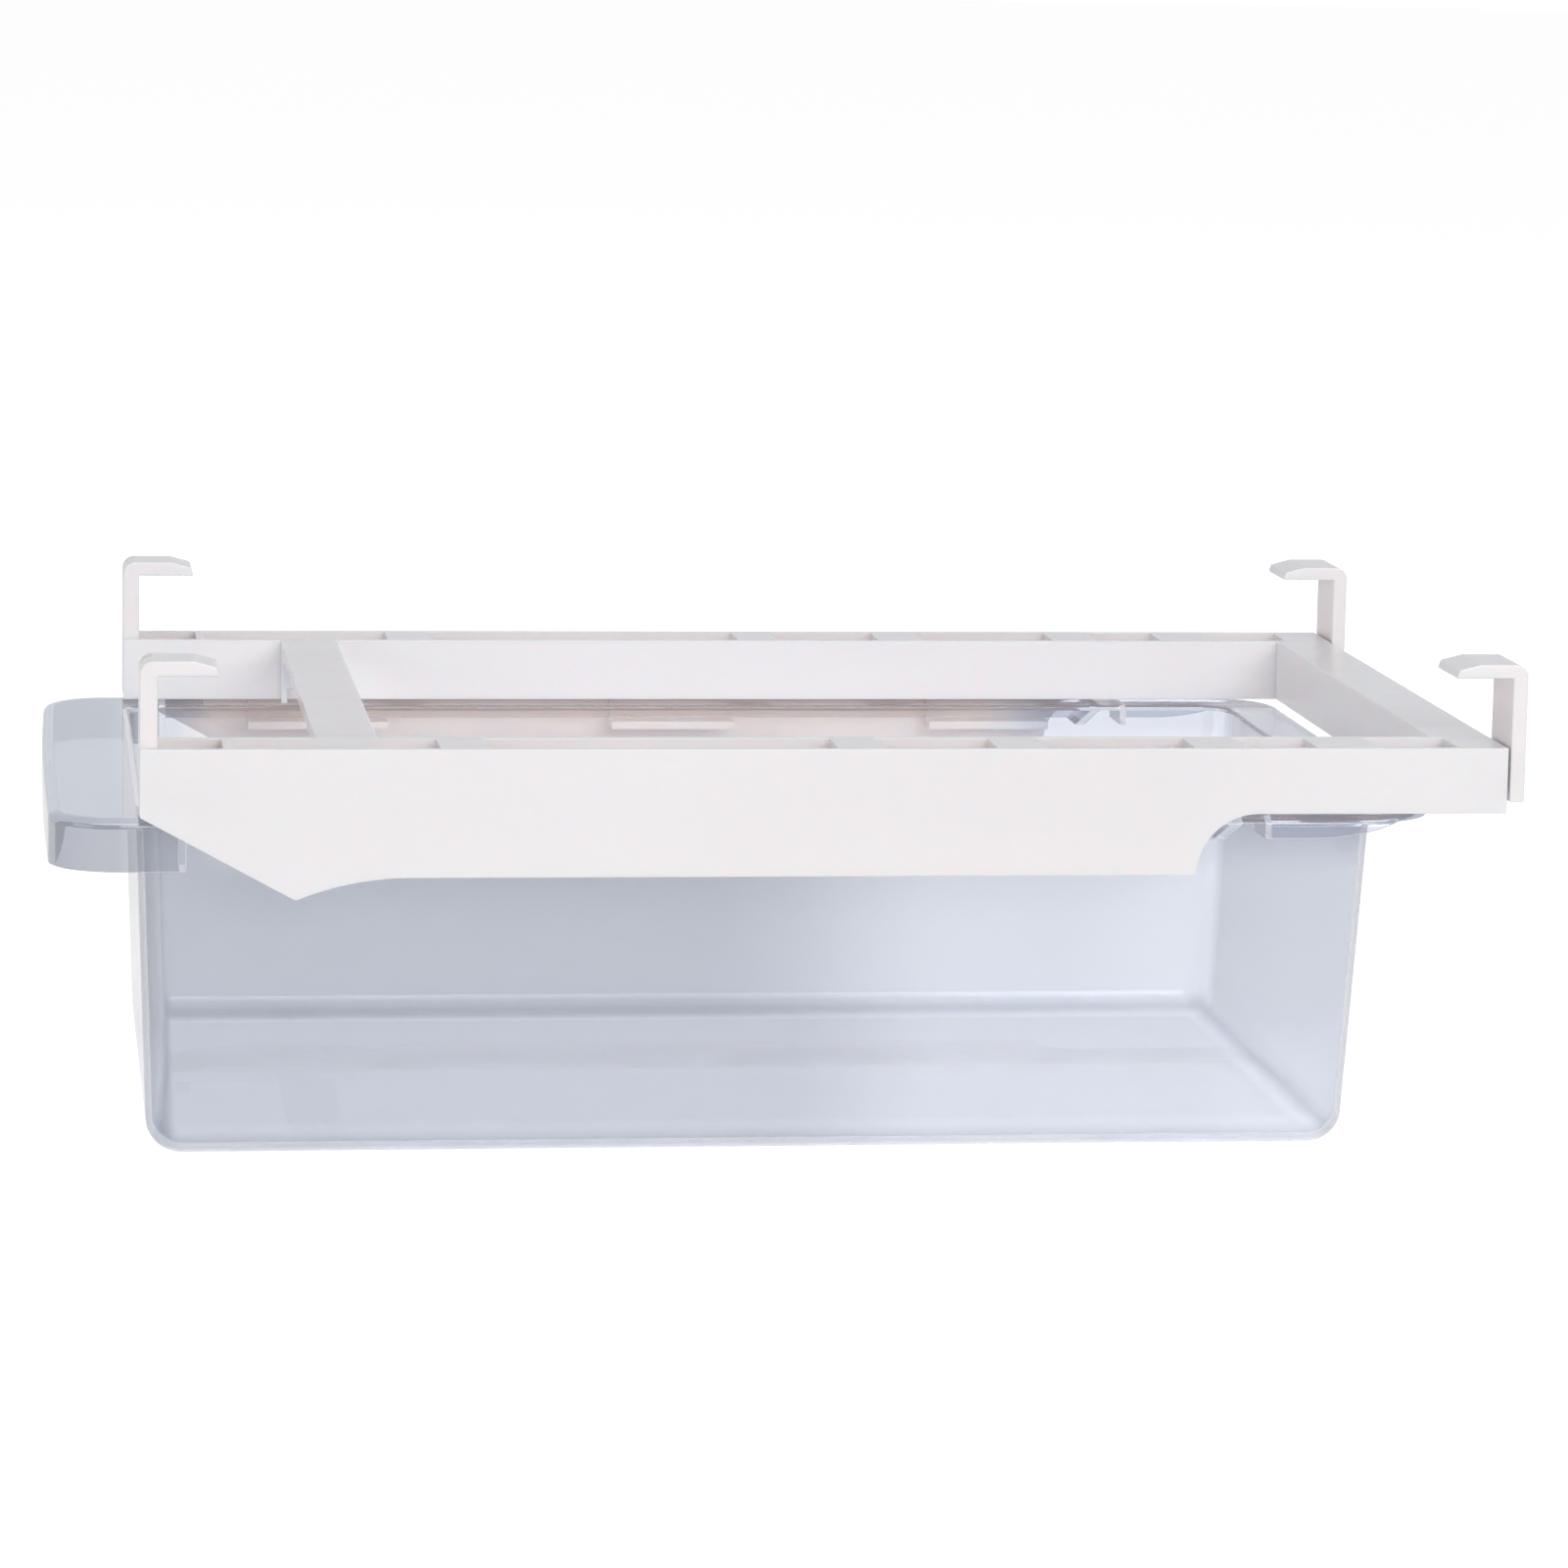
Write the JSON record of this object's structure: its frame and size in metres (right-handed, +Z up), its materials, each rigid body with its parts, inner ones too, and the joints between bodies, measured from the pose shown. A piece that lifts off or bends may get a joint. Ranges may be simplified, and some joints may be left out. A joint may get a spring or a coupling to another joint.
{
  "type": "fridge drawer organizer",
  "caption": "Under-shelf fridge drawer: a clear sliding bin in a white frame that hangs from the shelf by hooks.",
  "frame": {"origin": "centre of the whole object's footprint, on the plane that the drawer's base stands on", "axes": "+X to the object's right as seen from its front, +Y from the drawer's pull to the back, +Z up"},
  "size_m": [0.205, 0.3348, 0.1169],
  "materials": {
    "white_plastic": "glossy moulded",
    "clear_plastic": "clear, faint blue-grey tint"
  },
  "bodies": {
    "frame": {"right_rail": "white_plastic", "left_rail": "white_plastic", "front_crossbar": "white_plastic", "rear_crossbar": "white_plastic", "front_hook_right": "white_plastic", "front_hook_left": "white_plastic", "rear_hook_right": "white_plastic", "rear_hook_left": "white_plastic"},
    "drawer": {"drawer": "clear_plastic"}
  },
  "joints": [
    {"name": "drawer_slide", "type": "slide", "parent": "frame", "child": "drawer", "axis": [0, -1, 0], "range_m": [-0.0205, 0.2]}
  ]
}
